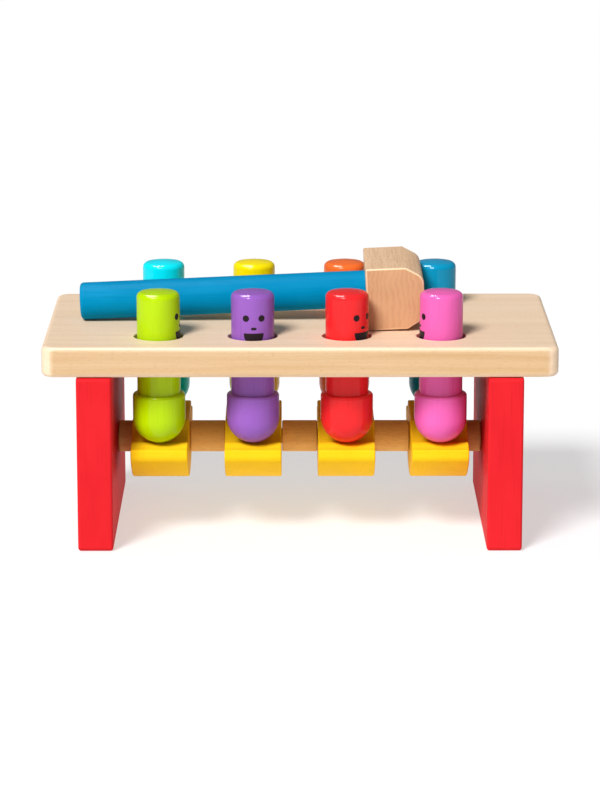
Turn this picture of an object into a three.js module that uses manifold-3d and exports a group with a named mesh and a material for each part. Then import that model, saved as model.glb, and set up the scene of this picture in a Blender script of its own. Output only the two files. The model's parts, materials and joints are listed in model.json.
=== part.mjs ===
// Pounding bench: a wooden board on two legs, eight pegs that seesaw in pairs, and a mallet.
// Millimetres, +Z up. X runs along the board, the front row of pegs is on the -Y side,
// and the origin lies on the floor under the middle of the board.

import * as THREE from "three";
import { mergeVertices } from "three/addons/utils/BufferGeometryUtils.js";
import Module from "manifold-3d";

const wasm = await Module();
wasm.setup();

// Board
const boardLength = 262;
const boardDepth = 140;
const boardThickness = 15.5;
const boardCornerRadius = 7;
const boardEdgeRound = 2.5;

// Legs
const legHeight = 91;
const legThickness = 18;
const legEndSetback = 17.5;
const legFaceSetback = 0.5;
const legCornerRadius = 2.5;
const legEdgeRound = 1.5;

// Hidden dowels that pin the board to the legs
const dowelDiameter = 8;
const dowelDepthInBoard = 9;
const dowelDepthInLeg = 20;
const dowelEdgeDistance = 24.5;

// Pegs, in two rows, four to a row
const pegRowOffset = 40;
const pegDiameter = 22.2;
const pegHoleClearance = 1.6;
const pegRise = 24;
const pegEdgeRound = 3;
const pegDomeRise = 0.8;
const footDiameter = 27;
const footEdgeChamfer = 1.5;

// Rockers, one under each front and back pair of pegs
const axleHeight = 44;
const axleDiameter = 8;
const axleDepthInLeg = 10;
const rockerWidth = 29.3;
const rockerHalfSpan = 50;
const rockerBellyDrop = 19.5;
const rockerTipDrop = 1;
const rockerCrestHeight = 14;
const rockerCrestHalf = 20;
const rockerEdgeChamfer = 0.8;
const seatHeight = 6.3;
const tiltLimit = THREE.MathUtils.degToRad(20);

// Spacer sleeves on the axle
const endSpacerLength = 7.8;
const spacerDiameter = 16.5;
const spacerChamfer = 0.5;

// Mallet
const headWidth = 29.8;
const headHeight = 32.2;
const headCornerRadius = 6;
const headFlatRun = 6.2;
const headFlatAngle = THREE.MathUtils.degToRad(30);
const headFaceChamfer = 0.8;
const headPegClearance = 1.2;
const headOffCentre = 1.7;
const handleDiameter = 19.4;
const handleReach = 149;
const handleDepthInHead = 22;
const handleEndRound = 2;

// Clearances
const runningGap = 0.3;
const glueLine = 0.2;
const cutOverrun = 2;

// Counts of faces and steps
const columnCount = 4;
const holeSides = 32;
const pegSides = 24;
const rodSides = 20;
const cornerSteps = 3;
const edgeSteps = 3;
const footSteps = 5;
const pegEdgeSteps = 3;
const domeSteps = 2;
const bellySteps = 16;
const seatSteps = 12;
const tiltSteps = 16;
const handleEndSteps = 2;

// Heights and places that follow from the sizes
const boardBottom = legHeight + glueLine;
const boardTop = boardBottom + boardThickness;
const legCentreX = boardLength / 2 - legEndSetback - legThickness / 2;
const legInnerX = legCentreX - legThickness / 2;
const dowelOffset = boardDepth / 2 - legFaceSetback - dowelEdgeDistance;
const outerColumnX = legInnerX - endSpacerLength - 2 * runningGap - rockerWidth / 2;
const pegPitch = (2 * outerColumnX) / (columnCount - 1);
const pegRadius = pegDiameter / 2;
const footRadius = footDiameter / 2;
const ballReach = footRadius + runningGap;
const ballHeight = seatHeight + ballReach;
const footCentreHeight = axleHeight + ballHeight;
const pegTravel = pegRowOffset * tiltLimit;
const collarTop = boardBottom - pegTravel - runningGap - footCentreHeight;
const pegTop = boardTop + pegRise - footCentreHeight;

const colours = {
  board: "#f0d6b0",
  leg: "#ff2f36",
  rocker: "#ffd91c",
  bareWood: "#e6c79a",
  head: "#e6bd8c",
  handle: "#0090cc",
};

const pegRows = [
  { side: -1, names: ["lime_peg", "purple_peg", "red_peg", "pink_peg"],
    paints: ["#bfe80f", "#a56bdb", "#fb3136", "#ff5fb8"] },
  { side: 1, names: ["cyan_peg", "yellow_peg", "orange_peg", "teal_peg"],
    paints: ["#00d8ee", "#ffe100", "#f97b3c", "#0a8fba"] },
];

function columnX(column) {
  return (column - (columnCount - 1) / 2) * pegPitch;
}

// A closed geometry with shared corners becomes a solid that can be cut
function solidFrom(geometry) {
  const bare = geometry.clone();
  bare.deleteAttribute("normal");
  bare.deleteAttribute("uv");
  const merged = mergeVertices(bare);
  return new wasm.Manifold(new wasm.Mesh({
    numProp: 3,
    vertProperties: new Float32Array(merged.attributes.position.array),
    triVerts: new Uint32Array(merged.index.array),
  }));
}

function geometryFrom(solid) {
  const mesh = solid.getMesh();
  const geometry = new THREE.BufferGeometry();
  geometry.setAttribute("position", new THREE.BufferAttribute(mesh.vertProperties, 3));
  geometry.setIndex(new THREE.BufferAttribute(mesh.triVerts, 1));
  geometry.computeVertexNormals();
  return geometry;
}

function cutAway(geometry, cutters) {
  let solid = solidFrom(geometry);
  for (const cutter of cutters) {
    solid = solid.subtract(solidFrom(cutter));
  }
  return geometryFrom(solid);
}

function paintedMesh(name, geometry, colour, roughness) {
  const material = new THREE.MeshStandardMaterial({ color: colour, roughness, metalness: 0 });
  const mesh = new THREE.Mesh(geometry, material);
  mesh.name = name;
  return mesh;
}

// A rectangle with round corners, centred on its own origin
function roundedRectangle(width, height, radius) {
  const right = width / 2 - radius;
  const top = height / 2 - radius;
  const shape = new THREE.Shape();
  shape.absarc(right, -top, radius, -Math.PI / 2, 0);
  shape.absarc(right, top, radius, 0, Math.PI / 2);
  shape.absarc(-right, top, radius, Math.PI / 2, Math.PI);
  shape.absarc(-right, -top, radius, Math.PI, Math.PI * 1.5);
  return shape;
}

// An outline given thickness along Z, with its two rims rounded or chamfered, centred on Z = 0
function plateFrom(shape, thickness, rim, rimSteps) {
  const depth = thickness - 2 * rim;
  const plate = new THREE.ExtrudeGeometry(shape, {
    depth,
    curveSegments: cornerSteps,
    bevelEnabled: true,
    bevelThickness: rim,
    bevelSize: rim,
    bevelOffset: -rim,
    bevelSegments: rimSteps,
  });
  return plate.translate(0, 0, -depth / 2);
}

// Turns a shape drawn in its XY plane so that it is drawn in YZ and its thickness runs along X
function faceAlongX(geometry) {
  const turn = new THREE.Matrix4().makeBasis(
    new THREE.Vector3(0, 1, 0),
    new THREE.Vector3(0, 0, 1),
    new THREE.Vector3(1, 0, 0),
  );
  return geometry.applyMatrix4(turn);
}

function rodAlongX(diameter, length) {
  return new THREE.CylinderGeometry(diameter / 2, diameter / 2, length, rodSides).rotateZ(Math.PI / 2);
}

function rodAlongZ(diameter, length, sides) {
  return new THREE.CylinderGeometry(diameter / 2, diameter / 2, length, sides).rotateX(Math.PI / 2);
}

// Points of a round stretch of a lathe profile: x is the radius and y the height
function arcPoints(centreX, centreY, radius, start, end, steps) {
  const points = [];
  for (let step = 0; step <= steps; step++) {
    const angle = start + (end - start) * (step / steps);
    points.push(new THREE.Vector2(centreX + radius * Math.cos(angle), centreY + radius * Math.sin(angle)));
  }
  return points;
}

// The board, with eight peg holes and four blind dowel holes in its underside
function boardGeometry() {
  const outline = roundedRectangle(boardLength, boardDepth, boardCornerRadius);
  const board = plateFrom(outline, boardThickness, boardEdgeRound, edgeSteps);
  const holeDiameter = pegDiameter + 2 * pegHoleClearance;
  const cutters = [];
  for (let column = 0; column < columnCount; column++) {
    for (const row of pegRows) {
      const hole = rodAlongZ(holeDiameter, boardThickness + 2 * cutOverrun, holeSides);
      cutters.push(hole.translate(columnX(column), row.side * pegRowOffset, 0));
    }
  }
  const dowelHoleTop = -boardThickness / 2 + dowelDepthInBoard;
  for (const place of dowelPlaces()) {
    const hole = rodAlongZ(dowelDiameter + 2 * runningGap, dowelDepthInBoard + cutOverrun, rodSides);
    cutters.push(hole.translate(place.x, place.y, dowelHoleTop - (dowelDepthInBoard + cutOverrun) / 2));
  }
  return cutAway(board, cutters);
}

function dowelPlaces() {
  return [
    { name: "left_front_dowel", x: -legCentreX, y: -dowelOffset },
    { name: "left_back_dowel", x: -legCentreX, y: dowelOffset },
    { name: "right_front_dowel", x: legCentreX, y: -dowelOffset },
    { name: "right_back_dowel", x: legCentreX, y: dowelOffset },
  ];
}

// A leg stands with its middle at X = 0 and its foot at Z = 0; side is the way to the other leg
function legGeometry(side) {
  const outline = roundedRectangle(boardDepth - 2 * legFaceSetback, legHeight, legCornerRadius);
  const slab = faceAlongX(plateFrom(outline, legThickness, legEdgeRound, edgeSteps));
  slab.translate(0, 0, legHeight / 2);
  const axleHole = rodAlongX(axleDiameter + 2 * runningGap, axleDepthInLeg + cutOverrun);
  const axleHoleX = side * (legThickness / 2 - (axleDepthInLeg - cutOverrun) / 2);
  const cutters = [axleHole.translate(axleHoleX, 0, axleHeight)];
  for (const y of [-dowelOffset, dowelOffset]) {
    const hole = rodAlongZ(dowelDiameter + 2 * runningGap, dowelDepthInLeg + cutOverrun, rodSides);
    cutters.push(hole.translate(0, y, legHeight - (dowelDepthInLeg - cutOverrun) / 2));
  }
  return cutAway(slab, cutters);
}

// A peg turned about Z, with the middle of its ball foot at the origin. The foot is wider than
// the hole in the board, and its collar stops under the board at the end of the peg's travel.
function pegGeometry() {
  const rimHeight = pegTop - pegDomeRise - pegEdgeRound;
  const domeRadius = pegRadius - pegEdgeRound;
  const profile = [
    ...arcPoints(0, 0, footRadius, -Math.PI / 2, 0, footSteps),
    new THREE.Vector2(footRadius, collarTop - footEdgeChamfer),
    new THREE.Vector2(footRadius - footEdgeChamfer, collarTop),
    new THREE.Vector2(pegRadius, collarTop),
    ...arcPoints(domeRadius, rimHeight, pegEdgeRound, 0, Math.PI / 2, pegEdgeSteps),
  ];
  for (let step = 1; step <= domeSteps; step++) {
    const radiusShare = 1 - step / domeSteps;
    profile.push(new THREE.Vector2(domeRadius * radiusShare, pegTop - pegDomeRise * radiusShare ** 2));
  }
  profile[0].x = 0;
  return new THREE.LatheGeometry(profile, pegSides).rotateX(Math.PI / 2);
}

// Where the middle of a peg's foot lies, seen from a rocker that has tilted its way up
function ballCentreAt(tilt) {
  const centre = new THREE.Vector2(pegRowOffset, ballHeight + pegRowOffset * tilt);
  return centre.rotateAround(new THREE.Vector2(), -tilt);
}

// The seat is hollowed so that the ball foot touches nothing but its running gap at any tilt
function seatHeightAt(distance) {
  let lowest = rockerCrestHeight;
  for (let step = 0; step <= tiltSteps; step++) {
    const centre = ballCentreAt(tiltLimit * ((2 * step) / tiltSteps - 1));
    const aside = distance - centre.x;
    if (Math.abs(aside) < ballReach) {
      lowest = Math.min(lowest, centre.y - Math.sqrt(ballReach ** 2 - aside ** 2));
    }
  }
  return lowest;
}

// A rocker about its axle: a round belly below, a seat at each end and a crest over the bore
function rockerGeometry() {
  const rise = rockerBellyDrop - rockerTipDrop;
  const bellyRadius = (rockerHalfSpan ** 2 + rise ** 2) / (2 * rise);
  const halfAngle = Math.asin(rockerHalfSpan / bellyRadius);
  const outline = arcPoints(0, bellyRadius - rockerBellyDrop, bellyRadius,
    -Math.PI / 2 - halfAngle, -Math.PI / 2 + halfAngle, bellySteps);
  const topHalf = [];
  for (let step = 0; step <= seatSteps; step++) {
    const distance = THREE.MathUtils.lerp(rockerHalfSpan, rockerCrestHalf, step / seatSteps);
    topHalf.push(new THREE.Vector2(distance, seatHeightAt(distance)));
  }
  outline.push(...topHalf);
  outline.push(...topHalf.map((point) => new THREE.Vector2(-point.x, point.y)).reverse());
  const block = faceAlongX(plateFrom(new THREE.Shape(outline), rockerWidth, rockerEdgeChamfer, 1));
  const bore = rodAlongX(axleDiameter + 2 * runningGap, rockerWidth + 2 * cutOverrun);
  return cutAway(block, [bore]);
}

// A sleeve on the axle, with the edges of its ends broken
function spacerGeometry(length) {
  const bore = axleDiameter / 2 + runningGap;
  const outside = spacerDiameter / 2;
  const end = length / 2;
  const profile = [
    new THREE.Vector2(bore, -end),
    new THREE.Vector2(outside - spacerChamfer, -end),
    new THREE.Vector2(outside, -end + spacerChamfer),
    new THREE.Vector2(outside, end - spacerChamfer),
    new THREE.Vector2(outside - spacerChamfer, end),
    new THREE.Vector2(bore, end),
    new THREE.Vector2(bore, -end),
  ];
  return new THREE.LatheGeometry(profile, rodSides).rotateZ(Math.PI / 2);
}

// The head fills the space between two columns of pegs, nearer to the last one,
// and stops short of all four of them
function headLength() {
  const aside = Math.max(0, (pegPitch - headWidth) / 2 - headOffCentre);
  const reach = Math.sqrt(Math.max(0, (pegRadius + headPegClearance) ** 2 - aside ** 2));
  return 2 * (pegRowOffset - reach);
}

// Drawn from the side: the handle enters at X = 0, and each far corner has a flat and a round
function headGeometry() {
  const flatDrop = headFlatRun * Math.tan(headFlatAngle);
  const roundStart = Math.PI / 2 - headFlatAngle;
  const roundDepth = headCornerRadius * Math.sin(roundStart);
  const roundX = headWidth - headCornerRadius;
  const lowRoundY = flatDrop + roundDepth;
  const highRoundY = headHeight - lowRoundY;
  const flatX = roundX + headCornerRadius * Math.cos(roundStart) - headFlatRun;
  const shape = new THREE.Shape();
  shape.moveTo(0, 0);
  shape.lineTo(flatX, 0);
  shape.absarc(roundX, lowRoundY, headCornerRadius, -roundStart, 0);
  shape.absarc(roundX, highRoundY, headCornerRadius, 0, roundStart);
  shape.lineTo(flatX, headHeight);
  shape.lineTo(0, headHeight);
  shape.closePath();
  const head = plateFrom(shape, headLength(), headFaceChamfer, 1).rotateX(Math.PI / 2);
  const socket = rodAlongX(handleDiameter + 2 * runningGap, handleDepthInHead + cutOverrun);
  socket.translate((handleDepthInHead - cutOverrun) / 2, 0, headHeight / 2);
  return cutAway(head, [socket]);
}

// The handle, turned about X, from its round free end to the bottom of the head's socket
function handleGeometry() {
  const radius = handleDiameter / 2;
  const freeEnd = -handleReach;
  const socketEnd = handleDepthInHead - runningGap;
  const profile = [
    new THREE.Vector2(0, freeEnd),
    ...arcPoints(radius - handleEndRound, freeEnd + handleEndRound, handleEndRound,
      -Math.PI / 2, 0, handleEndSteps),
    new THREE.Vector2(radius, socketEnd),
    new THREE.Vector2(0, socketEnd),
  ];
  return new THREE.LatheGeometry(profile, pegSides).rotateZ(-Math.PI / 2);
}

function addBench(part) {
  const bench = new THREE.Group();
  const top = paintedMesh("bench_top", boardGeometry(), colours.board, 0.45);
  top.position.z = boardBottom + boardThickness / 2;
  const leftLeg = paintedMesh("left_leg", legGeometry(1), colours.leg, 0.35);
  leftLeg.position.x = -legCentreX;
  const rightLeg = paintedMesh("right_leg", legGeometry(-1), colours.leg, 0.35);
  rightLeg.position.x = legCentreX;
  bench.add(top, leftLeg, rightLeg);

  const dowelBottom = legHeight - dowelDepthInLeg + runningGap;
  const dowelTop = boardBottom + dowelDepthInBoard - runningGap;
  for (const place of dowelPlaces()) {
    const rod = rodAlongZ(dowelDiameter, dowelTop - dowelBottom, rodSides);
    const dowel = paintedMesh(place.name, rod, colours.bareWood, 0.6);
    dowel.position.set(place.x, place.y, (dowelTop + dowelBottom) / 2);
    bench.add(dowel);
  }
  part.add(bench);
}

// The axle, the four rockers on it and the sleeves that keep each rocker under its pegs
function addSeesaw(part) {
  const seesaw = new THREE.Group();
  seesaw.position.z = axleHeight;
  const axleLength = 2 * (legInnerX + axleDepthInLeg - runningGap);
  seesaw.add(paintedMesh("axle_rod", rodAlongX(axleDiameter, axleLength), colours.bareWood, 0.6));

  for (let column = 0; column < columnCount; column++) {
    const rocker = paintedMesh(`rocker_${column + 1}`, rockerGeometry(), colours.rocker, 0.35);
    rocker.position.x = columnX(column);
    seesaw.add(rocker);
  }

  for (let space = 0; space <= columnCount; space++) {
    const left = space === 0 ? -legInnerX : columnX(space - 1) + rockerWidth / 2;
    const right = space === columnCount ? legInnerX : columnX(space) - rockerWidth / 2;
    const sleeve = spacerGeometry(right - left - 2 * runningGap);
    const spacer = paintedMesh(`spacer_${space + 1}`, sleeve, colours.bareWood, 0.6);
    spacer.position.x = (left + right) / 2;
    seesaw.add(spacer);
  }
  part.add(seesaw);
}

function addPegs(part) {
  const pegs = new THREE.Group();
  pegs.position.z = footCentreHeight;
  for (const row of pegRows) {
    row.names.forEach((name, column) => {
      const peg = paintedMesh(name, pegGeometry(), row.paints[column], 0.3);
      peg.position.set(columnX(column), row.side * pegRowOffset, 0);
      pegs.add(peg);
    });
  }
  part.add(pegs);
}

// The mallet lies along the board, between the last two columns of pegs, on the lower edge
// of its head and on the end of its handle, which is the heavier side.
function addMallet(part) {
  const mallet = new THREE.Group();
  const handleLift = (headHeight - handleDiameter) / 2;
  const spaceCentreX = (columnX(columnCount - 2) + columnX(columnCount - 1)) / 2;
  mallet.position.set(spaceCentreX + headOffCentre - headWidth / 2, 0, boardTop + runningGap);
  mallet.rotation.y = -Math.atan2(handleLift, handleReach - handleEndRound);
  const handle = paintedMesh("mallet_handle", handleGeometry(), colours.handle, 0.3);
  handle.position.z = headHeight / 2;
  mallet.add(paintedMesh("mallet_head", headGeometry(), colours.head, 0.55), handle);
  part.add(mallet);
}

const part = new THREE.Group();
part.name = "pounding_bench";
addBench(part);
addSeesaw(part);
addPegs(part);
addMallet(part);

export default part;
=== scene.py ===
import json
from math import atan2, cos, pi, radians, sin, sqrt, tan

import bmesh
import bpy
from mathutils import Matrix, Vector


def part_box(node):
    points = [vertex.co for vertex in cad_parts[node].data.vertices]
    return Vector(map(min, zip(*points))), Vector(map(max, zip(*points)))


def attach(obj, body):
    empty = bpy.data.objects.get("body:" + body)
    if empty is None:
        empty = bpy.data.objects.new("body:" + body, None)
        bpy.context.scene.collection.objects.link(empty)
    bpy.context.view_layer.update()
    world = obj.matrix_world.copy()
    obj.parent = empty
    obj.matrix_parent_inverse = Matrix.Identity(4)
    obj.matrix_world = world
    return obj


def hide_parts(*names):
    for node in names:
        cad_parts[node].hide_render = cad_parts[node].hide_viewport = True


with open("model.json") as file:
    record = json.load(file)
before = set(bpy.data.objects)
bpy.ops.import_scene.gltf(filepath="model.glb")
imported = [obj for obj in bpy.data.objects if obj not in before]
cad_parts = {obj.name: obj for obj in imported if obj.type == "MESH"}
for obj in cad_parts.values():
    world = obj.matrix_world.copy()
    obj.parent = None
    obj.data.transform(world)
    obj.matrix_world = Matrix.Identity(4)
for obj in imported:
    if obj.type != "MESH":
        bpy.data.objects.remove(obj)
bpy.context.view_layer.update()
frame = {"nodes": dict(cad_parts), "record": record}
print("frame loaded with", len(frame["nodes"]), "nodes")

mm = 0.001
mergeDistance = 0.002 * mm
quarterTurn = radians(90)
bodyOf = {node: body for body, nodes in frame["record"]["behaviour"]["bodies"].items()
          for node in nodes}
sharpAt = {      # where two faces turn by more than this, their edge is shaded crisp
    "turned": radians(50),
    "rod": radians(30),
    "ink": radians(40),
    "drilled": radians(50),
}


# colours, nodes and small mesh helpers

def toLinear(hexColour):
    # undoes the sRGB curve, whose constants these are
    channels = [int(hexColour[i:i + 2], 16) / 255 for i in (1, 3, 5)]
    bent = [c / 12.92 if c <= 0.04045 else ((c + 0.055) / 1.055) ** 2.4 for c in channels]
    return (*bent, 1.0)


def grey(value):
    return (value, value, value, 1.0)


def addNode(tree, kind, inputs=None, stops=(), **settings):
    # adds a node with its settings and links; a node given as an input feeds its first live output
    node = tree.nodes.new(kind)
    for name, value in settings.items():
        setattr(node, name, value)
    for i, (place, colour) in enumerate(stops):
        elements = node.color_ramp.elements
        element = elements[i] if i < len(elements) else elements.new(place)
        element.position = place
        element.color = colour
    live = [socket for socket in node.inputs if socket.enabled]
    for key, value in (inputs or {}).items():
        socket = live[key] if isinstance(key, int) else next(s for s in live if s.name == key)
        if isinstance(value, bpy.types.Node):
            value = next(output for output in value.outputs if output.enabled)
        if isinstance(value, bpy.types.NodeSocket):
            tree.links.new(value, socket)
        else:
            socket.default_value = value
    return node


def centreOf(node):
    low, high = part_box(node)
    return [(low[i] + high[i]) / 2 for i in range(3)]


def sizeOf(node):
    low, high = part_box(node)
    return [high[i] - low[i] for i in range(3)]


def meshObject(name, mesh):
    piece = bpy.data.objects.new(name, mesh)
    bpy.context.scene.collection.objects.link(piece)
    return piece


def bakedPiece(name, piece, material, sharpAngle):
    # the modifiers become one plain mesh, with its doubles merged and its faces pointing out
    shapes = bpy.context.evaluated_depsgraph_get()
    mesh = bpy.data.meshes.new_from_object(piece.evaluated_get(shapes))
    bpy.data.objects.remove(piece)
    work = bmesh.new()
    work.from_mesh(mesh)
    bmesh.ops.remove_doubles(work, verts=work.verts, dist=mergeDistance)
    bmesh.ops.recalc_face_normals(work, faces=work.faces)
    for face in work.faces:
        face.smooth = True
    work.to_mesh(mesh)
    work.free()
    mesh.name = name
    mesh.materials.clear()
    mesh.materials.append(material)
    mesh.set_sharp_from_angle(angle=sharpAngle)
    return meshObject(name, mesh)


def weighNormals(piece):
    # broad flat faces stay flat where they meet a rounded edge
    weigh = piece.modifiers.new("flatFaces", "WEIGHTED_NORMAL")
    weigh.keep_sharp = True
    return piece


def install(piece, node, standsForNode=True):
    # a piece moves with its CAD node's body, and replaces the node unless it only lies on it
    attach(piece, bodyOf[node])
    if standsForNode:
        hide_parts(node)


# materials

def newMaterial(name):
    material = bpy.data.materials.new(name)
    material.use_nodes = True
    material.node_tree.nodes.clear()
    return material, material.node_tree


def closeMaterial(tree, inputs):
    shader = addNode(tree, "ShaderNodeBsdfPrincipled", inputs)
    addNode(tree, "ShaderNodeOutputMaterial", {"Surface": shader})


def placeInMm(tree, turn=(0, 0, 0)):
    # the piece's own coordinates in millimetres, turned to bring its grain onto X
    place = addNode(tree, "ShaderNodeTexCoord").outputs["Object"]
    return addNode(tree, "ShaderNodeMapping",
                   {"Vector": place, "Rotation": turn, "Scale": (1 / mm, 1 / mm, 1 / mm)})


def grainNoise(tree, place, across, along, detail):
    # noise with blobs this many millimetres wide across and along the grain
    drawn = addNode(tree, "ShaderNodeMapping",
                    {"Vector": place, "Scale": (1 / along, 1 / across, 1 / across)})
    return addNode(tree, "ShaderNodeTexNoise", {"Vector": drawn, "Scale": 1.0, "Detail": detail})


def fade(pattern, band, ends=(0.0, 1.0)):
    # the inputs that take a pattern from one end value to the other as it crosses the band
    return {"Value": pattern, "From Min": band[0], "From Max": band[1], "To Min": ends[0],
            "To Max": ends[1]}


def outerMask(tree, halfSizes, inset, softness):
    # 1 beyond the given half sizes in X and Y, less the inset, and 0 further in
    away = addNode(tree, "ShaderNodeVectorMath", {0: placeInMm(tree)}, operation="ABSOLUTE")
    past = addNode(tree, "ShaderNodeVectorMath",
                   {0: away, 1: (halfSizes[0] - inset, halfSizes[1] - inset, 0)}, operation="SUBTRACT")
    parts = addNode(tree, "ShaderNodeSeparateXYZ", {0: past})
    further = addNode(tree, "ShaderNodeMath", {0: parts.outputs["X"], 1: parts.outputs["Y"]},
                      operation="MAXIMUM")
    return addNode(tree, "ShaderNodeMapRange", fade(further, (0, softness)))


def relieved(tree, heights, strength):
    # a chain of bumps, each a height pattern and its depth in millimetres
    normal = {}
    for pattern, depth in heights:
        normal = {"Normal": addNode(tree, "ShaderNodeBump", {
            "Height": pattern, "Distance": depth * mm, "Strength": strength, **normal})}
    return normal


farOff = 1000      # millimetres, past the ends of every piece

# patterns are given as width, length and detail, in millimetres, and a band is where in its noise
# a pattern starts and where it is full
woodLook = {
    "ringSpacing": 4.5,      # from one growth ring to the next
    "ringStops": ((0.0, 0.8), (0.15, 0.1), (0.5, 0.0), (0.85, 0.6), (1.0, 0.8)),      # dark late wood
    "waves": ((38, 4, 3, 7.0), (14, 8, 0, 3.0), (4.5, 12, 0, 0.9)),      # width, stretch, detail, reach
    "fibres": (0.45, 30.0, 2),      # drawn coarser than real, so that they show
    "fibreBand": (0.35, 0.75),
    "fibreRelief": 0.02,
    "pores": (0.35, 3.0, 1),
    "poreBand": (0.58, 0.7),
    "poreRelief": 0.03,
    "patches": (9.5, 114.0, 2),
    "patchBand": (0.35, 0.65),
    "patchLeast": 0.3,
    "relief": 0.5,
    "ringShare": 0.5,        # how strongly rings, pores, patches and fibres tint the wood
    "poreShare": 0.35,
    "patchShare": 0.25,
    "fibreShare": 0.3,
    "cutRings": 0.0,         # added to the rings' share on the sawn ends
    "cutSoftness": 0.6,
    # a painted highlight: how wide and soft the pale band along the broken edges is, and how strongly it
    # shows
    "highlightBandWidth": 0.0,
    "highlightBandSoftness": 0.15,
    "highlightBandShare": 0.7,
    "roughness": 0.42,
    "roughBand": (0.3, 0.7),
    "roughSwing": (-0.05, 0.07),
    "ior": 1.5,
    "specular": 0.2,
}


def clearWood(name, colours, pith, turn=(0, 0, 0), halfSizes=(farOff, farOff), sawnToneAndShade="#FFFFFF",
              look=()):
    # growth rings about a far pith, fibres, patches and short pores in the wood's own tones; the sawn
    # faces turn deeper, the wood's own tone on end grain and partly painted shade on a board's long
    # sides, and a painted highlight keeps the broken edges pale. The colours are those of the pale wood,
    # its rings and its pores, and pith and half sizes are in millimetres
    look = {**woodLook, **dict(look)}
    pale, ringTone, poreTone = [toLinear(colour) for colour in colours]
    material, tree = newMaterial(name)
    place = placeInMm(tree, turn)
    cut = outerMask(tree, halfSizes, look["cutSoftness"], look["cutSoftness"])
    fromPith = addNode(tree, "ShaderNodeMapping",
                       {"Vector": place, "Scale": (0, 1, 1), "Location": (0, -pith[0], -pith[1])})
    rings = addNode(tree, "ShaderNodeVectorMath", {0: fromPith}, operation="LENGTH")
    for width, stretch, detail, reach in look["waves"]:
        wave = grainNoise(tree, place, width, width * stretch, detail)
        rings = addNode(tree, "ShaderNodeMath", {0: wave, 1: reach, 2: rings},
                        operation="MULTIPLY_ADD")
    counted = addNode(tree, "ShaderNodeMath", {0: rings, 1: look["ringSpacing"]}, operation="DIVIDE")
    phase = addNode(tree, "ShaderNodeMath", {0: counted}, operation="FRACT")
    ringLines = addNode(tree, "ShaderNodeValToRGB", {"Fac": phase},
                        stops=[(spot, grey(depth)) for spot, depth in look["ringStops"]])
    fibres = grainNoise(tree, place, *look["fibres"])
    fibreLines = addNode(tree, "ShaderNodeMapRange", fade(fibres, look["fibreBand"]))
    pores = addNode(tree, "ShaderNodeMapRange",
                    fade(grainNoise(tree, place, *look["pores"]), look["poreBand"]))
    patches = addNode(tree, "ShaderNodeMapRange",
                      fade(grainNoise(tree, place, *look["patches"]), look["patchBand"],
                           (look["patchLeast"], 1.0)))
    ringDepth = addNode(tree, "ShaderNodeMath", {0: cut, 1: look["cutRings"], 2: look["ringShare"]},
                        operation="MULTIPLY_ADD")
    ringDepth = addNode(tree, "ShaderNodeMath", {0: ringDepth, 1: patches}, operation="MULTIPLY")
    layers = [(ringLines, ringDepth, ringTone), (patches, look["patchShare"], ringTone),
              (fibreLines, look["fibreShare"], ringTone), (pores, look["poreShare"], poreTone)]
    # painted highlight: a band along the broken edges is mixed back to the pale wood
    if look["highlightBandWidth"]:
        edge = outerMask(tree, halfSizes, look["highlightBandWidth"], look["highlightBandSoftness"])
        layers.append((edge, look["highlightBandShare"], pale))
    colour = pale
    for mask, share, tone in layers:
        weight = addNode(tree, "ShaderNodeMath", {0: mask, 1: share}, operation="MULTIPLY")
        colour = addNode(tree, "ShaderNodeMix", {"Factor": weight, "A": colour, "B": tone},
                         data_type="RGBA")
    # the outer faces are multiplied by the sawn tone: partly painted shade where they are a board's long
    # sides
    colour = addNode(tree, "ShaderNodeMix", {"Factor": cut, "A": colour, "B": toLinear(sawnToneAndShade)},
                     data_type="RGBA", blend_type="MULTIPLY")
    sunk = addNode(tree, "ShaderNodeMath", {0: 1.0, 1: pores}, operation="SUBTRACT")
    roughEnds = [look["roughness"] + swing for swing in look["roughSwing"]]
    closeMaterial(tree, {
        "Base Color": colour,
        "Roughness": addNode(tree, "ShaderNodeMapRange", fade(fibres, look["roughBand"], roughEnds)),
        "IOR": look["ior"], "Specular IOR Level": look["specular"],
        **relieved(tree, [(fibres, look["fibreRelief"]), (sunk, look["poreRelief"])],
                   look["relief"])})
    return material


paintLook = {
    "grain": (0.7, 30.0, 3),      # fine lines of the wood that show through the paint
    "grainBand": (0.3, 0.45),
    "grainShare": 0.5,
    "grainRelief": 0.012,
    "peel": (1.6, 1.6, 1),        # the faint orange peel of a sprayed or dipped coat
    "peelRelief": 0.004,
    "clouds": (14.0, 28.0, 2),
    "cloudBand": (0.35, 0.65),
    "relief": 0.7,
    "tone": 0.06,                 # how far the clouds go from the paint's own colour
    "lineDepth": 2.2,             # how many times further its darker lines go
    "lift": 0.03,
    "roughness": 0.22,
    "roughBand": (0.3, 0.7),
    "roughSwing": (-0.03, 0.04),
    "ior": 1.5,
    "specular": 0.03,
    "coat": 0.3,
    "coatRoughness": 0.08,
}


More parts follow.
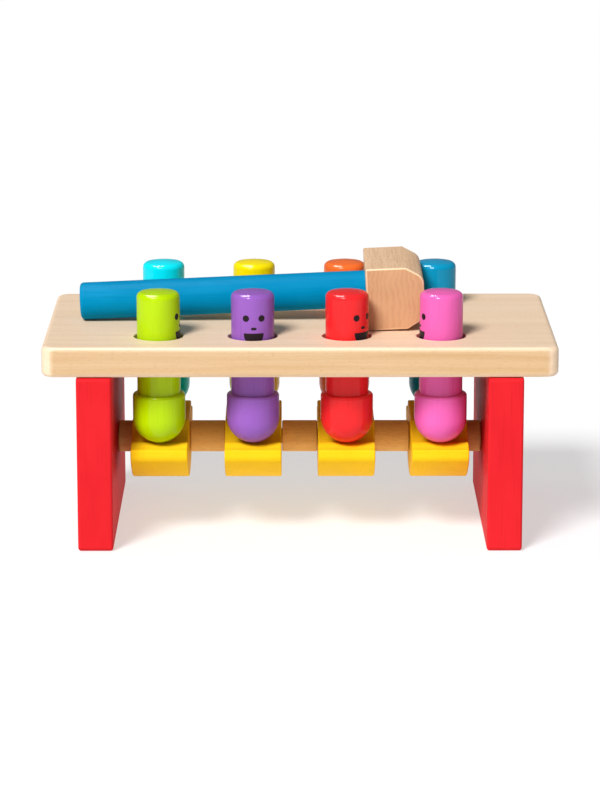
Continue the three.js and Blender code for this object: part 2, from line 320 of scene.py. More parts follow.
def paintedWood(name, paint, turn=(0, 0, 0), look=()):
    # enamel over sanded wood: an even colour, faint clouds and a trace of the grain below
    look = {**paintLook, **dict(look)}
    tone = look["tone"]
    colour = toLinear(paint)
    deep = [channel * (1 - look["lineDepth"] * tone) for channel in colour[:3]] + [1.0]
    bright = [min(1.0, channel * (1 + tone) + look["lift"] * tone) for channel in colour[:3]] + [1.0]
    material, tree = newMaterial(name)
    place = placeInMm(tree, turn)
    grain = grainNoise(tree, place, *look["grain"])
    cloud = grainNoise(tree, place, *look["clouds"])
    peel = grainNoise(tree, place, *look["peel"])
    clouds = addNode(tree, "ShaderNodeMapRange", fade(cloud, look["cloudBand"]))
    clouded = addNode(tree, "ShaderNodeMix", {"Factor": clouds, "A": colour, "B": bright},
                      data_type="RGBA")
    lines = addNode(tree, "ShaderNodeMapRange",
                    fade(grain, look["grainBand"], (look["grainShare"], 0.0)))
    lined = addNode(tree, "ShaderNodeMix", {"Factor": lines, "A": clouded, "B": deep},
                    data_type="RGBA")
    roughEnds = [look["roughness"] + swing for swing in look["roughSwing"]]
    closeMaterial(tree, {
        "Base Color": lined,
        "Roughness": addNode(tree, "ShaderNodeMapRange", fade(cloud, look["roughBand"], roughEnds)),
        "IOR": look["ior"], "Specular IOR Level": look["specular"],
        "Coat Weight": look["coat"], "Coat Roughness": look["coatRoughness"],
        **relieved(tree, [(grain, look["grainRelief"]), (peel, look["peelRelief"])],
                   look["relief"])})
    return material


inkLook = {
    "speckle": (0.4, 0.4, 2),      # drawn coarser than real, so that it shows
    "speckleGain": 1.6,
    "speckleLift": 0.002,
    "roughBand": (0.3, 0.7),
    "roughEnds": (0.4, 0.5),
    "specular": 0.2,
}


def padPrintInk(name, ink):
    # pad printed ink: near black and thin, a little uneven in tone and gloss
    look = inkLook
    material, tree = newMaterial(name)
    speckle = grainNoise(tree, placeInMm(tree), *look["speckle"])
    colour = toLinear(ink)
    lighter = [channel * look["speckleGain"] + look["speckleLift"] for channel in colour[:3]] + [1.0]
    closeMaterial(tree, {
        "Base Color": addNode(tree, "ShaderNodeMix", {"Factor": speckle, "A": colour, "B": lighter},
                              data_type="RGBA"),
        "Roughness": addNode(tree, "ShaderNodeMapRange",
                             fade(speckle, look["roughBand"], look["roughEnds"])),
        "Specular IOR Level": look["specular"]})
    return material


upright = (0, quarterTurn, 0)      # turns a pattern's grain from local X to the object's Z
acrossGrain = (0, 0, quarterTurn)      # and to the object's Y

boardHalf = [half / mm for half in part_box("bench_top")[1][:2]]
headHalf = (farOff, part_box("mallet_head")[1][1] / mm)

# rubberwood, planed and lacquered: cream with soft brown lines and a satin shine; its sides turn deeper,
# partly as painted shade
boardWood = clearWood("lacqueredRubberwood", ("#F3DABF", "#DDB88F", "#BF9468"), pith=(15, -46),
                      halfSizes=boardHalf, sawnToneAndShade="#DFD4BF",
                      look={"ringShare": 0.35, "poreShare": 0.25, "cutRings": 0.3})
# beech, sawn and sanded: close wavy rings on the rosy end grain, and a painted highlight along the broken
# edges
headWood = clearWood("sandedBeech", ("#F8D5AE", "#A4683C", "#8E5C36"), pith=(-140, 128),
                     turn=acrossGrain, halfSizes=headHalf, sawnToneAndShade="#D6C2B3",
                     look={"ringSpacing": 2.7, "ringShare": 0.14, "poreShare": 0.5, "cutRings": 0.9,
                           "waves": ((38, 4, 2, 5.0), (12, 8, 0, 4.5), (5, 12, 1, 3.0)),
                           "roughness": 0.5, "cutSoftness": 0.1, "highlightBandWidth": 1.0})
# beech dowel, turned and left dry: no shine, and a deeper honey colour that is partly painted warm bounce
# light from the yellow rockers
rodWood = clearWood("sandedBeechRod", ("#F6C878", "#E2AA55", "#BB7F3C"), pith=(30, 20),
                    look={"roughness": 0.55})
# dipped satin paint: broad soft lights, and the grain just shows
legPaint = paintedWood("satinRedEnamel", "#D22128", upright, {"roughness": 0.5, "coat": 0.0})
rockerPaint = paintedWood("satinYellowEnamel", "#F2C118", acrossGrain, {"roughness": 0.5, "coat": 0.0})
handlePaint = paintedWood("satinBlueEnamel", "#0080AE",
                          look={"roughness": 0.42, "grainRelief": 0.03, "tone": 0.09, "specular": 0.01,
                                "coat": 0.0})
# charcoal ink, printed on by a soft pad: flat and matt against the gloss of the pegs
faceInk = padPrintInk("charcoalPadPrint", "#190E16")
print("materials made")


# turned pieces: a profile of radius and height, spun about Z by one node tree

def newTree(name, sockets):
    tree = bpy.data.node_groups.new(name, "GeometryNodeTree")
    for socket, kind in sockets.items():
        tree.interface.new_socket(socket, in_out="INPUT", socket_type="NodeSocket" + kind)
    tree.interface.new_socket("Geometry", in_out="OUTPUT", socket_type="NodeSocketGeometry")
    return tree, addNode(tree, "NodeGroupInput").outputs


def closeTree(tree, geometry, finish):
    real = addNode(tree, "GeometryNodeRealizeInstances", {"Geometry": geometry})
    painted = addNode(tree, "GeometryNodeSetMaterial", {"Geometry": real, "Material": finish})
    addNode(tree, "NodeGroupOutput", {"Geometry": painted})
    return tree


def latheTree():
    # a flat grid of side 1, one column of points for each side, is wound round Z along the profile
    tree, given = newTree("turnOnLathe", {"Profile": "Geometry", "Sides": "Int",
                                          "Merge Distance": "Float", "Finish": "Material"})
    count = addNode(tree, "GeometryNodeAttributeDomainSize", {"Geometry": given["Profile"]})
    last = addNode(tree, "ShaderNodeMath", {0: count, 1: 1.0}, operation="SUBTRACT")
    columns = addNode(tree, "ShaderNodeMath", {0: given["Sides"], 1: 1.0}, operation="ADD")
    grid = addNode(tree, "GeometryNodeMeshGrid",
                   {"Size X": 1.0, "Size Y": 1.0, "Vertices X": columns, "Vertices Y": count})
    position = addNode(tree, "GeometryNodeInputPosition")
    spot = addNode(tree, "ShaderNodeSeparateXYZ", {0: position})
    acrossGrid = (-0.5, 0.5)
    row = addNode(tree, "ShaderNodeMapRange", fade(spot.outputs["Y"], acrossGrid, (0.0, last)))
    whole = addNode(tree, "ShaderNodeMath", {0: row}, operation="ROUND")
    angle = addNode(tree, "ShaderNodeMapRange", fade(spot.outputs["X"], acrossGrid, (0.0, 2 * pi)))
    profile = addNode(tree, "GeometryNodeSampleIndex",
                      {"Geometry": given["Profile"], "Value": position, "Index": whole},
                      data_type="FLOAT_VECTOR", domain="POINT")
    turned = addNode(tree, "ShaderNodeVectorRotate", {"Vector": profile, "Angle": angle},
                     rotation_type="Z_AXIS")
    shaped = addNode(tree, "GeometryNodeSetPosition", {"Geometry": grid, "Position": turned})
    closed = addNode(tree, "GeometryNodeMergeByDistance",
                     {"Geometry": shaped, "Distance": given["Merge Distance"]})
    return closeTree(tree, closed, given["Finish"])


def applyTree(piece, tree, values):
    nodes = piece.modifiers.new(tree.name, "NODES")
    nodes.node_group = tree
    sockets = {item.name: item.identifier for item in tree.interface.items_tree
               if item.item_type == "SOCKET" and item.in_out == "INPUT"}
    for name, value in values.items():
        nodes[sockets[name]] = value
    return piece


turnOnLathe = latheTree()


def turnedPiece(name, profile, sides, material, place, sharpAngle=sharpAt["turned"]):
    # the profile is a list of (radius, height) points; place is the matrix that seats the piece
    mesh = bpy.data.meshes.new(name)
    mesh.from_pydata([(radius, 0, height) for radius, height in profile],
                     [(i, i + 1) for i in range(len(profile) - 1)], [])
    blank = applyTree(meshObject(name + "_blank", mesh), turnOnLathe,
                      {"Sides": sides, "Merge Distance": mergeDistance, "Finish": material})
    piece = bakedPiece(name, blank, material, sharpAngle)
    piece.data.transform(place)
    return piece


def arc(centreX, centreY, radius, start, end, steps):
    return [(centreX + radius * cos(start + (end - start) * i / steps),
             centreY + radius * sin(start + (end - start) * i / steps)) for i in range(steps + 1)]


alongX = Matrix.Rotation(quarterTurn, 4, "Y")


# pegs, with their printed faces

peg = {
    "shaftRadius": 11.1 * mm,
    "edgeRound": 3.0 * mm,
    "domeRise": 0.8 * mm,
    "collarHeight": 26.3 * mm,      # from the foot's lowest point to the top of the collar
    "collarRound": 1.5 * mm,
    "sides": 96,
    "ballSteps": 16,
    "edgeSteps": 10,
    "domeSteps": 6,
}

facePrint = {
    "inkDepth": 0.03 * mm,
    "eyeDrop": 12.9 * mm,      # all drops are measured from the peg's top
    "eyeRadius": 1.7 * mm,
    "eyeTurn": radians(21.2),
    "noseDrop": 18.2 * mm,
    "noseWidth": 2.9 * mm,
    "noseHeight": 1.4 * mm,
    "mouthDrop": 20.6 * mm,
    "mouthTurn": radians(27),
    "mouthHeight": 5.6 * mm,
    "roundPower": 2,      # a circle's own power; higher ones have squarer shoulders
    "mouthPower": 3,
    "nosePower": 4,
    "columns": 24,
}

# the turn of each face from straight ahead, positive towards +X
pegFaces = {
    "lime_peg": ("#AACE00", radians(81)),
    "purple_peg": ("#8C57AF", radians(3.4)),
    "red_peg": ("#DF2427", radians(46.5)),
    "pink_peg": ("#DD5DA8", radians(-79)),
    "cyan_peg": ("#00DBEA", radians(20)),
    "yellow_peg": ("#EFD800", radians(-35)),
    "orange_peg": ("#E4682A", radians(150)),
    "teal_peg": ("#008AB4", radians(-120)),
}


def pegProfile(low, high, footRadius):
    size = peg
    ballCentre = low + footRadius
    collarTop = low + size["collarHeight"]
    rim = high - size["domeRise"] - size["edgeRound"]
    domeRadius = size["shaftRadius"] - size["edgeRound"]
    points = arc(0, ballCentre, footRadius, -pi / 2, 0, size["ballSteps"])
    points += arc(footRadius - size["collarRound"], collarTop - size["collarRound"],
                  size["collarRound"], 0, pi / 2, size["edgeSteps"])
    points.append((size["shaftRadius"], collarTop))
    points += arc(domeRadius, rim, size["edgeRound"], 0, pi / 2, size["edgeSteps"])
    for i in range(1, size["domeSteps"] + 1):
        share = 1 - i / size["domeSteps"]
        points.append((domeRadius * share, high - size["domeRise"] * share ** 2))
    return points


def markStrip(halfWidth, rise, fall, power, columns):
    # upright strips between two curves, with cosine spacing so that round ends stay round
    mesh = bpy.data.meshes.new("mark")
    points = []
    for i in range(columns + 1):
        share = -cos(pi * i / columns)
        fullness = sqrt(max(0, 1 - abs(share) ** power))
        points += [(halfWidth * share, side, height * fullness)
                   for side in (1.0, -1.0) for height in (rise, -fall)]
    faces = []
    for i in range(columns):
        a, b = 4 * i, 4 * i + 4      # each column has four points
        faces += [(a, b, b + 1, a + 1), (a + 2, a + 3, b + 3, b + 2),
                  (a, a + 2, b + 2, b), (a + 1, b + 1, b + 3, a + 3)]
    last = 4 * columns
    faces += [(0, 1, 3, 2), (last, last + 2, last + 3, last + 1)]
    mesh.from_pydata(points, [], faces)
    return mesh


def wrapTree():
    # lays a flat mark round a peg: X becomes arc length, the sign of Y the two sides of the ink
    tree, given = newTree("printRoundPeg", {"Mark": "Geometry", "Peg Radius": "Float",
                                            "Ink Depth": "Float", "Turn": "Float",
                                            "Seat": "Vector", "Ink": "Material"})
    flat = addNode(tree, "ShaderNodeSeparateXYZ", {0: addNode(tree, "GeometryNodeInputPosition")})
    arcTurn = addNode(tree, "ShaderNodeMath", {0: flat.outputs["X"], 1: given["Peg Radius"]},
                      operation="DIVIDE")
    angle = addNode(tree, "ShaderNodeMath", {0: arcTurn, 1: given["Turn"]}, operation="ADD")
    radius = addNode(tree, "ShaderNodeMath", {0: flat.outputs["Y"], 1: given["Ink Depth"],
                                              2: given["Peg Radius"]}, operation="MULTIPLY_ADD")
    unturned = addNode(tree, "ShaderNodeCombineXYZ", {"X": radius, "Z": flat.outputs["Z"]})
    wound = addNode(tree, "ShaderNodeVectorRotate", {"Vector": unturned, "Angle": angle},
                    rotation_type="Z_AXIS")
    seated = addNode(tree, "ShaderNodeVectorMath", {0: wound, 1: given["Seat"]}, operation="ADD")
    shaped = addNode(tree, "GeometryNodeSetPosition", {"Geometry": given["Mark"], "Position": seated})
    return closeTree(tree, shaped, given["Ink"])


def printedFace(pegName, turn, printTree):
    size = facePrint
    centreX, centreY, _ = centreOf(pegName)
    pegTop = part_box(pegName)[1][2]
    eye = size["eyeRadius"]
    noseHalf, noseRise = size["noseWidth"] / 2, size["noseHeight"] / 2
    mouthHalf = size["mouthTurn"] * peg["shaftRadius"]
    marks = [      # half width, rise, fall, power, turn aside and drop
        (eye, eye, eye, size["roundPower"], -size["eyeTurn"], size["eyeDrop"]),
        (eye, eye, eye, size["roundPower"], size["eyeTurn"], size["eyeDrop"]),
        (noseHalf, noseRise, noseRise, size["nosePower"], 0, size["noseDrop"]),
        (mouthHalf, 0, size["mouthHeight"], size["mouthPower"], 0, size["mouthDrop"]),
    ]
    inked = bmesh.new()
    for halfWidth, rise, fall, power, aside, drop in marks:
        strip = markStrip(halfWidth, rise, fall, power, size["columns"])
        mark = applyTree(meshObject("mark", strip), printTree,
                         {"Peg Radius": peg["shaftRadius"], "Ink Depth": size["inkDepth"],
                          "Turn": turn + aside - pi / 2,
                          "Seat": (centreX, centreY, pegTop - drop), "Ink": faceInk})
        piece = bakedPiece("mark", mark, faceInk, sharpAt["ink"])
        inked.from_mesh(piece.data)
        bpy.data.objects.remove(piece)
    mesh = bpy.data.meshes.new(pegName + "_face")
    inked.to_mesh(mesh)
    inked.free()
    mesh.materials.append(faceInk)
    return meshObject(pegName + "_face", mesh)


def makePegs():
    printTree = wrapTree()
    for name, (paint, turn) in pegFaces.items():
        low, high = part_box(name)
        footRadius = (high[0] - low[0]) / 2
        centreX, centreY, _ = centreOf(name)
        # sprayed gloss enamel: an even, bright colour under a hard shine
        gloss = paintedWood(name.replace("_peg", "Enamel"), paint, upright)
        body = turnedPiece(name + "_turned", pegProfile(low[2], high[2], footRadius), peg["sides"],
                           gloss, Matrix.Translation((centreX, centreY, 0)))
        install(body, name)
        install(printedFace(name, turn, printTree), name, standsForNode=False)
    print("pegs turned and printed")


# rods and sleeves

rods = {
    "sides": 64,
    "chamfer": 0.5 * mm,
    "bore": 4.3 * mm,
    "axleDiameter": 8 * mm,
    "dowelDiameter": 8 * mm,
}
spacerCount = 5
dowelNames = [f"{side}_{row}_dowel" for side in ("left", "right") for row in ("front", "back")]


def rodProfile(radius, length, chamfer):
    end = length / 2
    return [(0, -end), (radius - chamfer, -end), (radius, -end + chamfer),
            (radius, end - chamfer), (radius - chamfer, end), (0, end)]


def sleeveProfile(bore, radius, length, chamfer):
    # the rod's outline, with its two ends on the bore in place of the axis
    rim = rodProfile(radius, length, chamfer)[1:-1]
    return [(bore, -length / 2), *rim, (bore, length / 2), (bore, -length / 2)]


def makeRod(name, profile, turn):
    rod = turnedPiece(name + "_turned", profile, rods["sides"], rodWood,
                      Matrix.Translation(centreOf(name)) @ turn, sharpAt["rod"])
    install(rod, name)


def makeRods():
    size = rods
    for name in [f"spacer_{number}" for number in range(1, spacerCount + 1)]:
        length, _, diameter = sizeOf(name)
        makeRod(name, sleeveProfile(size["bore"], diameter / 2, length, size["chamfer"]), alongX)
    axleLength = sizeOf("axle_rod")[0]
    makeRod("axle_rod", rodProfile(size["axleDiameter"] / 2, axleLength, size["chamfer"]), alongX)
    for name in dowelNames:
        profile = rodProfile(size["dowelDiameter"] / 2, sizeOf(name)[2], size["chamfer"])
        makeRod(name, profile, Matrix.Identity(4))
    print("axle, sleeves and dowels made")


# slabs: rows of outline loops with a rounded rim, and holes through them

leastCorner = 0.05 * mm


def roundedLoop(width, depth, radius, inset, steps):
    # a rectangle with round corners, drawn in by the inset; the corner never vanishes
    corner = max(radius - inset, leastCorner)
    right, top = width / 2 - inset - corner, depth / 2 - inset - corner
    loop = []
    for start, x, y in ((-pi / 2, right, -top), (0, right, top), (pi / 2, -right, top),
                        (pi, -right, -top)):
        loop += arc(x, y, corner, start, start + pi / 2, steps)
    return loop


def circleLoop(x, y, radius, sides):
    return [(x + radius * cos(2 * pi * i / sides), y + radius * sin(2 * pi * i / sides))
            for i in range(sides)]


def rimRows(thickness, rim, steps):
    # (inset, height) down a rounded rim, from the top face round to the bottom face
    half = thickness / 2
    upper = [(rim * (1 - sin(pi / 2 * i / steps)), half - rim * (1 - cos(pi / 2 * i / steps)))
             for i in range(steps + 1)]
    return upper + [(inset, -height) for inset, height in reversed(upper)]


def slabMesh(name, outerLoop, outerRows, holeLoops, holeRows):
    # outerLoop and each holeLoop give a ring of points for an inset; the caps fill what is left
    work = bmesh.new()

    def wall(loopOf, rows):
        rings = [[work.verts.new((x, y, height)) for x, y in loopOf(inset)] for inset, height in rows]
        for upper, lower in zip(rings, rings[1:]):
            for i in range(len(upper)):
                k = (i + 1) % len(upper)
                work.faces.new((upper[i], upper[k], lower[k], lower[i]))
        return rings[0], rings[-1]

    ends = [wall(outerLoop, outerRows)]
    ends += [wall(loop, holeRows) for loop in holeLoops]
    for side in (0, 1):
        edges = []
        for ring in (pair[side] for pair in ends):
            edges += [work.edges.get((ring[i], ring[(i + 1) % len(ring)])) for i in range(len(ring))]
        bmesh.ops.triangle_fill(work, edges=edges, use_beauty=True)
    bmesh.ops.recalc_face_normals(work, faces=work.faces)
    for face in work.faces:
        face.smooth = True
    mesh = bpy.data.meshes.new(name)
    work.to_mesh(mesh)
    work.free()
    return mesh


def drill(piece, cutters):
    # holes, cut one after another, and the drills thrown away
    for cutter in cutters:
        cut = piece.modifiers.new("hole", "BOOLEAN")
        cut.operation = "DIFFERENCE"
        cut.solver = "EXACT"
        cut.object = cutter
    shapes = bpy.context.evaluated_depsgraph_get()
    mesh = bpy.data.meshes.new_from_object(piece.evaluated_get(shapes))
    name, material = piece.name, piece.data.materials[0]
    for spent in [piece, *cutters]:
        bpy.data.objects.remove(spent)
    mesh.materials.clear()
    mesh.materials.append(material)
    for polygon in mesh.polygons:
        polygon.use_smooth = True
    mesh.set_sharp_from_angle(angle=sharpAt["drilled"])
    return meshObject(name, mesh)


bit = {
    "sides": 48,
    "chamfer": 0.01 * mm,
}


def drillBit(radius, length, place):
    return turnedPiece("bit", rodProfile(radius, length, bit["chamfer"]), bit["sides"], rodWood, place)


board = {
    "cornerRadius": 7 * mm,
    "edgeRound": 2.5 * mm,
    "cornerSteps": 12,
    "edgeSteps": 8,
    "holeRadius": 12.7 * mm,
    "holeRound": 0.5 * mm,
    "holeSteps": 4,
    "holeSides": 96,
    "dowelHoleRadius": 4.3 * mm,
    "dowelHoleDepth": 9 * mm,
}


def makeBoard():
    size = board
    width, depth, thickness = sizeOf("bench_top")
    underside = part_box("bench_top")[0][2]

    def outline(inset):
        return roundedLoop(width, depth, size["cornerRadius"], inset, size["cornerSteps"])

    holes = []
    for name in pegFaces:
        x, y, _ = centreOf(name)
        holes.append(lambda inset, x=x, y=y: circleLoop(x, y, size["holeRadius"] + inset,
                                                        size["holeSides"]))
    mesh = slabMesh("bench_top_planed", outline, rimRows(thickness, size["edgeRound"], size["edgeSteps"]),
                    holes, rimRows(thickness, size["holeRound"], size["holeSteps"]))
    mesh.materials.append(boardWood)
    mesh.transform(Matrix.Translation(centreOf("bench_top")))
    bits = []
    for name in dowelNames:
        x, y, _ = centreOf(name)
        bits.append(drillBit(size["dowelHoleRadius"], 2 * size["dowelHoleDepth"],
                             Matrix.Translation((x, y, underside))))
    install(weighNormals(drill(meshObject("bench_top_planed", mesh), bits)), "bench_top")
    print("board planed and drilled")


legs = {
    "cornerRadius": 2.5 * mm,
    "edgeRound": 1.5 * mm,
    "cornerSteps": 8,
    "edgeSteps": 6,
    "holeRadius": 4.3 * mm,
    "axleHoleDepth": 10 * mm,
    "dowelHoleDepth": 20 * mm,
}


def makeLegs():
    size = legs
    # a slab's width, depth and thickness become the leg's depth, height and thickness
    standing = Matrix(((0, 0, 1, 0), (1, 0, 0, 0), (0, 1, 0, 0), (0, 0, 0, 1)))
    axleHeight = centreOf("axle_rod")[2]
    for name, innerSide in (("left_leg", 1), ("right_leg", 0)):
        thickness, depth, height = sizeOf(name)
        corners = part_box(name)

        def outline(inset):
            return roundedLoop(depth, height, size["cornerRadius"], inset, size["cornerSteps"])

        mesh = slabMesh(name + "_planed", outline,
                        rimRows(thickness, size["edgeRound"], size["edgeSteps"]), [], [])
        mesh.materials.append(legPaint)
        mesh.transform(Matrix.Translation(centreOf(name)) @ standing)
        innerX, top = corners[innerSide][0], corners[1][2]
        bits = [drillBit(size["holeRadius"], 2 * size["axleHoleDepth"],
                         Matrix.Translation((innerX, 0, axleHeight)) @ alongX)]
        for row in ("front", "back"):
            x, y, _ = centreOf(name.replace("leg", row + "_dowel"))
            bits.append(drillBit(size["holeRadius"], 2 * size["dowelHoleDepth"],
                                 Matrix.Translation((x, y, top))))
        install(weighNormals(drill(meshObject(name + "_planed", mesh), bits)), name)
    print("legs made")


# sawn blocks: an outline drawn out to a thickness, with its edges broken

brokenAt = radians(40)      # an edge whose faces turn by more than this is broken


def sawnBlock(name, corners, along, material, place):
    work = bmesh.new()
    flat = work.faces.new([work.verts.new(corner) for corner in corners])
    sawn = bmesh.ops.extrude_face_region(work, geom=[flat])
    moved = [item for item in sawn["geom"] if isinstance(item, bmesh.types.BMVert)]
    bmesh.ops.translate(work, verts=moved, vec=along)
    bmesh.ops.recalc_face_normals(work, faces=work.faces)
    mesh = bpy.data.meshes.new(name)
    work.to_mesh(mesh)
    work.free()
    mesh.materials.append(material)
    mesh.transform(place)
    return meshObject(name, mesh)


def breakEdges(block, width, steps):
    rounding = block.modifiers.new("brokenEdges", "BEVEL")
    rounding.width = width
    rounding.segments = steps
    rounding.limit_method = "ANGLE"
    rounding.angle_limit = brokenAt


# rockers: a belly arc below, a round nose and a hollowed seat at each end, a crest over the bore

rocker = {
    "count": 4,
    "halfSpan": 50 * mm,
    "bellyDrop": 19.5 * mm,      # all heights are from the axle's middle
    "tipDrop": 1 * mm,
    "crestHeight": 14 * mm,
    "crestHalf": 20 * mm,
    "seatHeight": 6.3 * mm,
    "rowOffset": 40 * mm,
    "ballReach": 13.8 * mm,      # the peg's ball foot and its running gap
    "tiltLimit": radians(20),
    "edgeRound": 0.8 * mm,
    "edgeSteps": 4,
    "noseRadius": 5 * mm,      # sanded round where the belly meets the upright end
    "noseSteps": 8,
    "bellySteps": 48,
    "seatSteps": 40,
    "tiltSteps": 40,
    "boreRadius": 4.3 * mm,
}


def seatHeightAt(distance):
    # the lowest that the peg's foot reaches this far from the axle, over all tilts of the rocker
    size = rocker
    lowest = size["crestHeight"]
    for i in range(size["tiltSteps"] + 1):
        tilt = size["tiltLimit"] * (2 * i / size["tiltSteps"] - 1)
        height = size["seatHeight"] + size["ballReach"] + size["rowOffset"] * tilt
        across = size["rowOffset"] * cos(tilt) + height * sin(tilt)
        up = height * cos(tilt) - size["rowOffset"] * sin(tilt)
        aside = distance - across
        if abs(aside) < size["ballReach"]:
            lowest = min(lowest, up - sqrt(size["ballReach"] ** 2 - aside ** 2))
    return lowest


def rockerOutline():
    size = rocker
    rise = size["bellyDrop"] - size["tipDrop"]
    # the belly's circle passes its lowest point and the two tips, before the noses are rounded
    bellyRadius = (size["halfSpan"] ** 2 + rise ** 2) / (2 * rise)
    bellyHeight = bellyRadius - size["bellyDrop"]
    noseX = size["halfSpan"] - size["noseRadius"]
    noseDrop = sqrt((bellyRadius - size["noseRadius"]) ** 2 - noseX ** 2)
    meeting = atan2(-noseDrop, noseX)      # the direction in which belly and nose touch
    belly = arc(0, bellyHeight, bellyRadius, -pi - meeting, meeting, size["bellySteps"])
    half = arc(noseX, bellyHeight - noseDrop, size["noseRadius"], meeting, 0, size["noseSteps"])[1:]
    for i in range(size["seatSteps"] + 1):
        distance = size["halfSpan"] + (size["crestHalf"] - size["halfSpan"]) * i / size["seatSteps"]
        half.append((distance, seatHeightAt(distance)))
    return belly + half + [(-x, y) for x, y in reversed(half)]


def makeRockers():
    size = rocker
    outline = rockerOutline()
    for name in [f"rocker_{number}" for number in range(1, size["count"] + 1)]:
        low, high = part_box(name)
        width = high[0] - low[0]
        axleHeight = low[2] + size["bellyDrop"]
        corners = [(low[0], y, axleHeight + z) for y, z in outline]
        block = sawnBlock(name + "_sawn", corners, (width, 0, 0), rockerPaint, Matrix.Identity(4))
        breakEdges(block, size["edgeRound"], size["edgeSteps"])
        bore = drillBit(size["boreRadius"], 2 * width,
                        Matrix.Translation((centreOf(name)[0], 0, axleHeight)) @ alongX)
        install(weighNormals(drill(block, [bore])), name)
    print("rockers made")


# mallet: a block with two flattened corners and a round handle in its socket

mallet = {
    "headWidth": 29.8 * mm,
    "headHeight": 32.2 * mm,
    "flatRun": 6.2 * mm,
    "flatAngle": radians(30),
    "cornerRadius": 6 * mm,
    "cornerSteps": 10,
    "edgeBreak": 0.9 * mm,
    "edgeSteps": 3,
    "handleDiameter": 19.4 * mm,
    "handleReach": 149 * mm,
    "handleDepth": 22 * mm,
    "handleEndRound": 2 * mm,
    "handleEndSteps": 8,
    "restGap": 0.3 * mm,
    "sides": 96,
}


def malletPlace():
    # the head leans on its lower edge, so its upper edge is what reaches out to the left
    size = mallet
    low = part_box("mallet_head")[0]
    lift = (size["headHeight"] - size["handleDiameter"]) / 2
    lean = atan2(lift, size["handleReach"] - size["handleEndRound"])
    cornerX = low[0] + size["headHeight"] * sin(lean)
    corner = Matrix.Translation((cornerX, centreOf("mallet_head")[1], low[2]))
    return corner @ Matrix.Rotation(-lean, 4, "Y")


def headOutline():
    # in side view, from the lower edge at the handle's side round to the upper one
    size = mallet
    drop = size["flatRun"] * tan(size["flatAngle"])
    begin = pi / 2 - size["flatAngle"]
    roundX = size["headWidth"] - size["cornerRadius"]
    roundZ = drop + size["cornerRadius"] * sin(begin)
    flatX = roundX + size["cornerRadius"] * cos(begin) - size["flatRun"]
    lower = arc(roundX, roundZ, size["cornerRadius"], -begin, 0, size["cornerSteps"])
    upper = arc(roundX, size["headHeight"] - roundZ, size["cornerRadius"], 0, begin,
                size["cornerSteps"])
    return [(0, 0), (flatX, 0), *lower, *upper, (flatX, size["headHeight"]), (0, size["headHeight"])]


def makeMallet():
    size = mallet
    length = sizeOf("mallet_head")[1]
    radius = size["handleDiameter"] / 2
    place = malletPlace()
    handleAxis = place @ Matrix.Translation((0, 0, size["headHeight"] / 2)) @ alongX

    corners = [(x, -length / 2, z) for x, z in headOutline()]
    head = sawnBlock("mallet_head_sawn", corners, (0, length, 0), headWood, place)
    breakEdges(head, size["edgeBreak"], size["edgeSteps"])
    socket = drillBit(radius + size["restGap"], 2 * size["handleDepth"], handleAxis)
    install(weighNormals(drill(head, [socket])), "mallet_head")

    bottom, end = -size["handleReach"], size["handleDepth"] - size["restGap"]
    rounded = arc(radius - size["handleEndRound"], bottom + size["handleEndRound"],
                  size["handleEndRound"], -pi / 2, 0, size["handleEndSteps"])
    handle = turnedPiece("mallet_handle_turned", [(0, bottom), *rounded, (radius, end), (0, end)],
                         size["sides"], handlePaint, handleAxis)
    install(handle, "mallet_handle")
    print("mallet made")


# floor, light and camera

stage = {      # lengths in metres
    "reach": 12.0,
    "wallHeight": 5.0,
    "sides": 64,
    "floorClouds": (400, 400, 1),      # width, length and detail, in millimetres
    "floorGreys": (0.44, 0.46),
    "floorRoughness": 0.7,
    "floorSpecular": 0.1,
    "floorGlow": 0.54,
    "wallRoughness": 0.8,
    "wallGlow": 1.0,
    "skyLight": 0.18,
    "aim": (0, 0, 0.09),
    "keySpot": (-0.333, -0.636, 0.786),
    "keyEnergy": 4.0,
    "keySpread": radians(20),
    "softboxSpot": (-0.364, 0.072, 1.018),
    "softboxSize": 0.5,
    "softboxEnergy": 30,
}

photoCamera = {      # matched to the photo's view of the board's corners
    "spot": (-0.00566, -1.7667, 0.4798),
    "aim": (0.0002, 0, 0.06334),
    "sensor": 36,      # millimetres, along the frame's longer side
    "lens": 155.06,
    "reach": 30,
}


def aimed(name, data, spot, aim):
    # a lamp or a camera at its spot, turned to look at the aim
    holder = bpy.data.objects.new(name, data)
    bpy.context.scene.collection.objects.link(holder)
    holder.location = spot
    holder.rotation_euler = (Vector(aim) - Vector(spot)).to_track_quat("-Z", "Y").to_euler()
    return holder


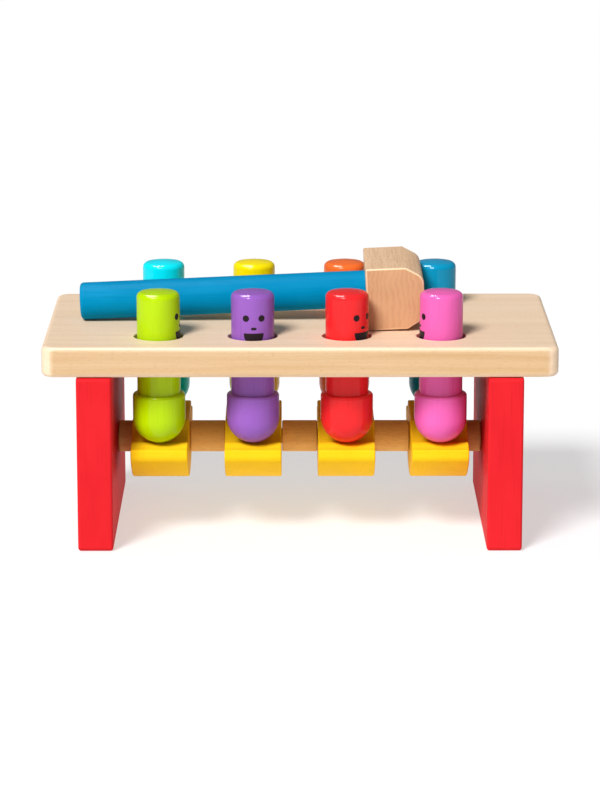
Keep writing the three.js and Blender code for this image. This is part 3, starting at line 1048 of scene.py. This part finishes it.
def makeFloor():
    # white acrylic that is also lit from below, which keeps the shadows on it pale
    size = stage
    material, tree = newMaterial("litWhiteAcrylic")
    cloud = grainNoise(tree, placeInMm(tree), *size["floorClouds"])
    closeMaterial(tree, {
        "Base Color": addNode(tree, "ShaderNodeMapRange", fade(cloud, (0.0, 1.0), size["floorGreys"])),
        "Roughness": size["floorRoughness"], "Specular IOR Level": size["floorSpecular"],
        "Emission Color": grey(1), "Emission Strength": size["floorGlow"]})
    mesh = bpy.data.meshes.new("floor")
    ring = circleLoop(0, 0, size["reach"], size["sides"])
    mesh.from_pydata([(x, y, 0) for x, y in ring], [], [tuple(range(size["sides"]))])
    mesh.materials.append(material)
    return meshObject("floor", mesh)


def makeBackdrop():
    # lit white paper far round the floor: an even white, for the camera alone
    size = stage
    material, tree = newMaterial("litWhitePaper")
    closeMaterial(tree, {"Roughness": size["wallRoughness"], "Emission Color": grey(1),
                         "Emission Strength": size["wallGlow"]})
    mesh = bpy.data.meshes.new("backdrop")
    ring = circleLoop(0, 0, size["reach"], size["sides"])
    count = size["sides"]
    mesh.from_pydata([(x, y, z) for z in (0, size["wallHeight"]) for x, y in ring], [],
                     [(i, (i + 1) % count, (i + 1) % count + count, i + count) for i in range(count)])
    mesh.materials.append(material)
    wall = meshObject("backdrop", mesh)
    wall.visible_diffuse = wall.visible_glossy = wall.visible_shadow = False
    return wall


def makeStage():
    size = stage
    makeFloor()
    makeBackdrop()

    world = bpy.data.worlds.new("studio")
    world.use_nodes = True
    sky = world.node_tree.nodes["Background"].inputs
    sky["Color"].default_value = grey(1)
    sky["Strength"].default_value = size["skyLight"]
    bpy.context.scene.world = world

    # the far key lamp lights the floor evenly, from the front left and 44 degrees up
    key = bpy.data.lights.new("keyLamp", "SUN")
    key.angle = size["keySpread"]
    key.energy = size["keyEnergy"]
    aimed("keyLamp", key, size["keySpot"], size["aim"])
    # a softbox overhead is seen only where gloss mirrors it, as on the rims of the pegs
    softbox = bpy.data.lights.new("softbox", "AREA")
    softbox.size = size["softboxSize"]
    softbox.energy = size["softboxEnergy"]
    aimed("softbox", softbox, size["softboxSpot"], size["aim"]).visible_diffuse = False
    print("studio lit")


def makeCamera():
    size = photoCamera
    lens = bpy.data.cameras.new("photoCamera")
    lens.sensor_fit = "AUTO"
    lens.sensor_width = size["sensor"]
    lens.lens = size["lens"]
    lens.clip_end = size["reach"]
    bpy.context.scene.camera = aimed("photoCamera", lens, size["spot"], size["aim"])
    bpy.context.scene.view_settings.view_transform = "Standard"
    print("camera set")


makeCamera()
makeBoard()
makeLegs()
makeRods()
makeRockers()
makePegs()
makeMallet()
makeStage()
